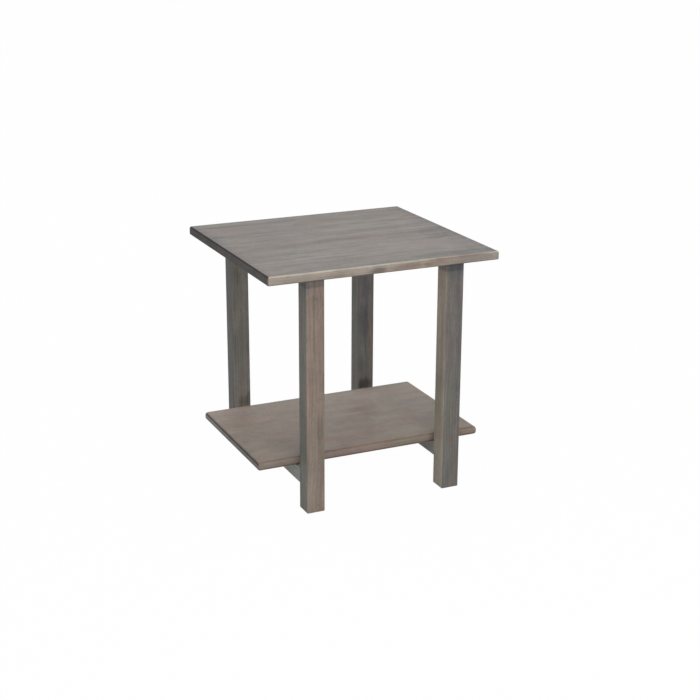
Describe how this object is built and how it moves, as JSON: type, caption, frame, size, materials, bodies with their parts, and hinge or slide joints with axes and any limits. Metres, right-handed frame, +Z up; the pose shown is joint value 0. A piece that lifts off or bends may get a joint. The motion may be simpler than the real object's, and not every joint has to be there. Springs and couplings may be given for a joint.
{
  "type": "end table with shelf",
  "caption": "Rectangular solid-wood end table: a wide top on straight square-cut legs, with a narrower low shelf carried by stretchers between the front and back legs.",
  "frame": {"origin": "on the floor under the middle of the table", "axes": "+Z up, +X along the length of the top, towards the right end seen from the front, +Y towards the back"},
  "size_m": [0.61, 0.558, 0.61],
  "materials": {
    "top_wood": "grey-brown stain under satin lacquer, grain along X",
    "shelf_wood": "grey-brown stain under satin lacquer, grain along X",
    "leg_wood": "grey-brown stain under satin lacquer, grain along Z",
    "rail_wood": "grey-brown stain under satin lacquer, grain along Y",
    "zinc_steel": "bright zinc plating"
  },
  "bodies": {
    "root": {"table_top": "top_wood", "shelf": "shelf_wood", "leg_front_left": "leg_wood", "leg_front_right": "leg_wood", "leg_back_left": "leg_wood", "leg_back_right": "leg_wood", "upper_rail_left": "rail_wood", "upper_rail_right": "rail_wood", "stretcher_left": "rail_wood", "stretcher_right": "rail_wood", "top_screws": "zinc_steel", "shelf_screws": "zinc_steel"}
  },
  "joints": []
}
